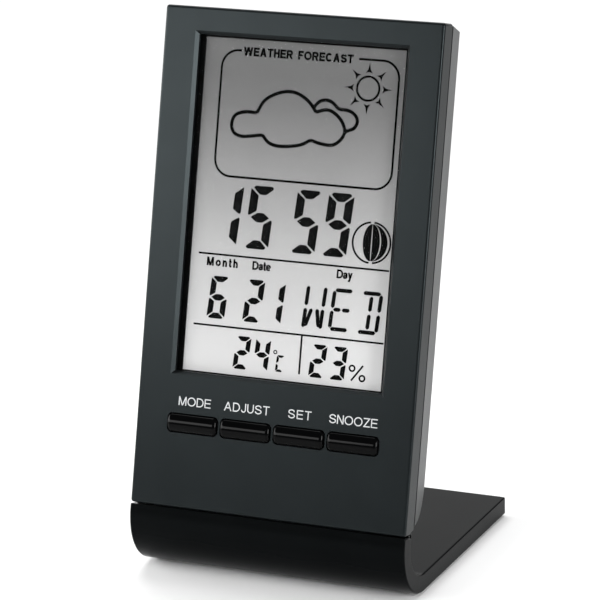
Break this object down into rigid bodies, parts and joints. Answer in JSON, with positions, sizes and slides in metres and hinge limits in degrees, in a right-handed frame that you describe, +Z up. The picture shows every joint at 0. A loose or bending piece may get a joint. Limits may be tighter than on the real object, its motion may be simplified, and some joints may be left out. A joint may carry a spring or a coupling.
{
  "type": "home weather station",
  "caption": "Upright digital weather station with a display window and a row of keys, hinged to a folding stand with a flat base and a curved lip.",
  "frame": {"origin": "on the surface it stands on, under the middle of its box", "axes": "+Z up, +Y to the back, +X to the right as seen by someone facing the display"},
  "size_m": [0.0664, 0.0644, 0.1252],
  "materials": {
    "stand_plastic": "moulded, satin gloss",
    "case_plastic": "moulded, fine satin texture",
    "key_plastic": "moulded, glossy",
    "foot_rubber": "matt",
    "steel_pin": "ground",
    "clear_window": "polished clear acrylic",
    "adhesive": "thin double-sided tape",
    "foam": "closed-cell foam",
    "polariser": "clear film",
    "display_glass": "polished",
    "reflector": "silver-grey film",
    "black_frame": "moulded",
    "zebra_rubber": "layered silicone",
    "board": "solder-resist green",
    "zinc_screw": "zinc plated",
    "resin": "cast epoxy",
    "sensor_cover": "moulded white",
    "nickel": "nickel plated",
    "capacitor_can": "drawn can",
    "chip_ceramic": "fired ceramic",
    "silicone": "moulded silicone",
    "carbon": "carbon-loaded silicone",
    "cell_wrap": "plain printed sleeve"
  },
  "bodies": {
    "stand": {"stand": "stand_plastic", "stand_feet": "foot_rubber", "hinge_pins": "steel_pin"},
    "display_unit": {"front_case": "case_plastic", "rear_case": "case_plastic", "window_lens": "clear_window", "lens_tape": "adhesive", "lcd_gasket": "foam", "lcd_front_polariser": "polariser", "lcd_front_glass": "display_glass", "lcd_rear_glass": "display_glass", "lcd_reflector": "reflector", "lcd_holder": "black_frame", "zebra_strip": "zebra_rubber", "main_board": "board", "case_screws": "zinc_screw", "board_screws": "zinc_screw", "controller_blob": "resin", "buzzer": "black_frame", "humidity_sensor": "sensor_cover", "thermistor": "resin", "clock_crystal": "nickel", "filter_capacitor": "capacitor_can", "chip_capacitors": "chip_ceramic", "chip_resistors": "resin", "keypad_mat": "silicone", "battery_cell": "cell_wrap", "battery_plate_contact": "nickel", "battery_spring_contact": "nickel"},
    "battery_door": {"battery_door": "case_plastic"},
    "key_mode": {"button_mode": "key_plastic", "key_post_mode": "silicone", "carbon_pill_mode": "carbon"},
    "key_adjust": {"button_adjust": "key_plastic", "key_post_adjust": "silicone", "carbon_pill_adjust": "carbon"},
    "key_set": {"button_set": "key_plastic", "key_post_set": "silicone", "carbon_pill_set": "carbon"},
    "key_snooze": {"button_snooze": "key_plastic", "key_post_snooze": "silicone", "carbon_pill_snooze": "carbon"}
  },
  "joints": [
    {"name": "stand_fold", "type": "hinge", "parent": "stand", "child": "display_unit", "pos_m": [0, -0.0276, 0.0154], "axis": [1, 0, 0], "range_deg": [-76, 0]},
    {"name": "press_mode", "type": "slide", "parent": "display_unit", "child": "key_mode", "axis": [0, 0.9711, -0.2385], "range_m": [0, 0.0008], "stiffness_N_per_m": 1500, "springref_m": -0.0002},
    {"name": "press_adjust", "type": "slide", "parent": "display_unit", "child": "key_adjust", "axis": [0, 0.9711, -0.2385], "range_m": [0, 0.0008], "stiffness_N_per_m": 1500, "springref_m": -0.0002},
    {"name": "press_set", "type": "slide", "parent": "display_unit", "child": "key_set", "axis": [0, 0.9711, -0.2385], "range_m": [0, 0.0008], "stiffness_N_per_m": 1500, "springref_m": -0.0002},
    {"name": "press_snooze", "type": "slide", "parent": "display_unit", "child": "key_snooze", "axis": [0, 0.9711, -0.2385], "range_m": [0, 0.0008], "stiffness_N_per_m": 1500, "springref_m": -0.0002},
    {"name": "door_lift", "type": "slide", "parent": "display_unit", "child": "battery_door", "axis": [0, 0.9711, -0.2385], "range_m": [0, 0.018]}
  ]
}
